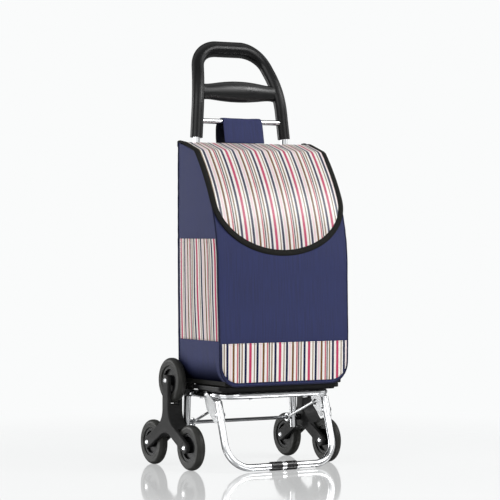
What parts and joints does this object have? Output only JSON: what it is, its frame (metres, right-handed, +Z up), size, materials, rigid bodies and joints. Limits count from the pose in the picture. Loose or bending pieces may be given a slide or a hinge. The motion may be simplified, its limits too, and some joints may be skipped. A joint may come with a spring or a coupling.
{
  "type": "shopping trolley on wheels",
  "caption": "Stair-climbing shopping trolley with a folding chrome frame, moulded loop handle, turning wheel clusters, fold-up platform and front leg, and a cloth bag with a striped flap.",
  "frame": {"origin": "on the floor under the middle of the box round the whole trolley", "axes": "+Z up, -Y is the front with the flap and the front leg, +X is to the right seen from the front"},
  "size_m": [0.3972, 0.3192, 0.9525],
  "materials": {
    "chrome_tube": "polished chrome plate",
    "plated_steel": "plated sheet and wire",
    "black_grip": "semi-gloss moulded plastic",
    "black_plastic": "satin moulded plastic",
    "tyre_black": "smooth dark tread",
    "foot_rubber": "matt black rubber",
    "navy_cloth": "plain woven polyester",
    "striped_cloth": "printed stripes on a pale ground",
    "black_binding": "woven tape"
  },
  "bodies": {
    "rear_frame": {"upright_left": "chrome_tube", "upright_right": "chrome_tube", "handle_loop": "black_grip", "cross_grip": "black_grip", "hanger_bar": "chrome_tube", "axle": "plated_steel", "axle_spacers": "black_plastic", "axle_push_nuts": "plated_steel", "hinge_bracket_left": "plated_steel", "hinge_bracket_right": "plated_steel", "frame_rivets": "chrome_tube", "bag_body": "navy_cloth", "hanger_strap": "navy_cloth", "side_pocket_left": "striped_cloth", "side_pocket_right": "striped_cloth", "front_band": "striped_cloth"},
    "platform": {"platform_tube": "chrome_tube", "platform_tray": "black_plastic", "tray_screws": "plated_steel"},
    "front_leg": {"front_leg_tube": "chrome_tube", "leg_bracket_left": "plated_steel", "leg_bracket_right": "plated_steel", "leg_rivets": "chrome_tube", "foot_sleeve_left": "foot_rubber", "foot_sleeve_right": "foot_rubber", "foot_clip": "plated_steel"},
    "brace_links": {"brace_link_left": "plated_steel", "brace_link_right": "plated_steel"},
    "flap": {"flap_panel": "striped_cloth", "flap_binding": "black_binding"},
    "wheel_set_left": {"carrier_outer_left": "black_plastic", "carrier_inner_left": "black_plastic", "wheel_pins_left": "chrome_tube"},
    "wheel_top_left": {"wheel_core_top_left": "black_plastic", "tyre_top_left": "tyre_black"},
    "wheel_front_left": {"wheel_core_front_left": "black_plastic", "tyre_front_left": "tyre_black"},
    "wheel_rear_left": {"wheel_core_rear_left": "black_plastic", "tyre_rear_left": "tyre_black"},
    "wheel_set_right": {"carrier_outer_right": "black_plastic", "carrier_inner_right": "black_plastic", "wheel_pins_right": "chrome_tube"},
    "wheel_top_right": {"wheel_core_top_right": "black_plastic", "tyre_top_right": "tyre_black"},
    "wheel_front_right": {"wheel_core_front_right": "black_plastic", "tyre_front_right": "tyre_black"},
    "wheel_rear_right": {"wheel_core_rear_right": "black_plastic", "tyre_rear_right": "tyre_black"}
  },
  "joints": [
    {"name": "platform_fold", "type": "hinge", "parent": "rear_frame", "child": "platform", "pos_m": [0, -0.00064, 0.165], "axis": [-1, 0, 0], "range_deg": [0, 68], "deforming": ["bag_body", "side_pocket_left", "side_pocket_right", "front_band", "flap_panel", "flap_binding"]},
    {"name": "leg_fold", "type": "hinge", "parent": "platform", "child": "front_leg", "pos_m": [0, -0.06864, 0.165], "axis": [1, 0, 0], "range_deg": [0, 97]},
    {"name": "link_swing", "type": "hinge", "parent": "rear_frame", "child": "brace_links", "pos_m": [0, 0.02736, 0.0975], "axis": [-1, 0, 0], "range_deg": [0, 40.35]},
    {"name": "flap_open", "type": "hinge", "parent": "rear_frame", "child": "flap", "pos_m": [0, 0.00686, 0.71966], "axis": [-1, 0, 0], "range_deg": [0, 85]},
    {"name": "wheel_set_turn_left", "type": "hinge", "parent": "rear_frame", "child": "wheel_set_left", "pos_m": [-0.1775, 0.02736, 0.0975], "axis": [1, 0, 0], "continuous": true},
    {"name": "wheel_top_left_spin", "type": "hinge", "parent": "wheel_set_left", "child": "wheel_top_left", "pos_m": [-0.1775, 0.02736, 0.1925], "axis": [1, 0, 0], "continuous": true},
    {"name": "wheel_front_left_spin", "type": "hinge", "parent": "wheel_set_left", "child": "wheel_front_left", "pos_m": [-0.1775, -0.05491, 0.05], "axis": [1, 0, 0], "continuous": true},
    {"name": "wheel_rear_left_spin", "type": "hinge", "parent": "wheel_set_left", "child": "wheel_rear_left", "pos_m": [-0.1775, 0.10964, 0.05], "axis": [1, 0, 0], "continuous": true},
    {"name": "wheel_set_turn_right", "type": "hinge", "parent": "rear_frame", "child": "wheel_set_right", "pos_m": [0.1775, 0.02736, 0.0975], "axis": [1, 0, 0], "continuous": true},
    {"name": "wheel_top_right_spin", "type": "hinge", "parent": "wheel_set_right", "child": "wheel_top_right", "pos_m": [0.1775, 0.02736, 0.1925], "axis": [1, 0, 0], "continuous": true},
    {"name": "wheel_front_right_spin", "type": "hinge", "parent": "wheel_set_right", "child": "wheel_front_right", "pos_m": [0.1775, -0.05491, 0.05], "axis": [1, 0, 0], "continuous": true},
    {"name": "wheel_rear_right_spin", "type": "hinge", "parent": "wheel_set_right", "child": "wheel_rear_right", "pos_m": [0.1775, 0.10964, 0.05], "axis": [1, 0, 0], "continuous": true}
  ],
  "couplings": [
    {"joint": "leg_fold", "follows": "platform_fold", "ratio": 1.426},
    {"joint": "link_swing", "follows": "platform_fold", "ratio": 0.593}
  ]
}
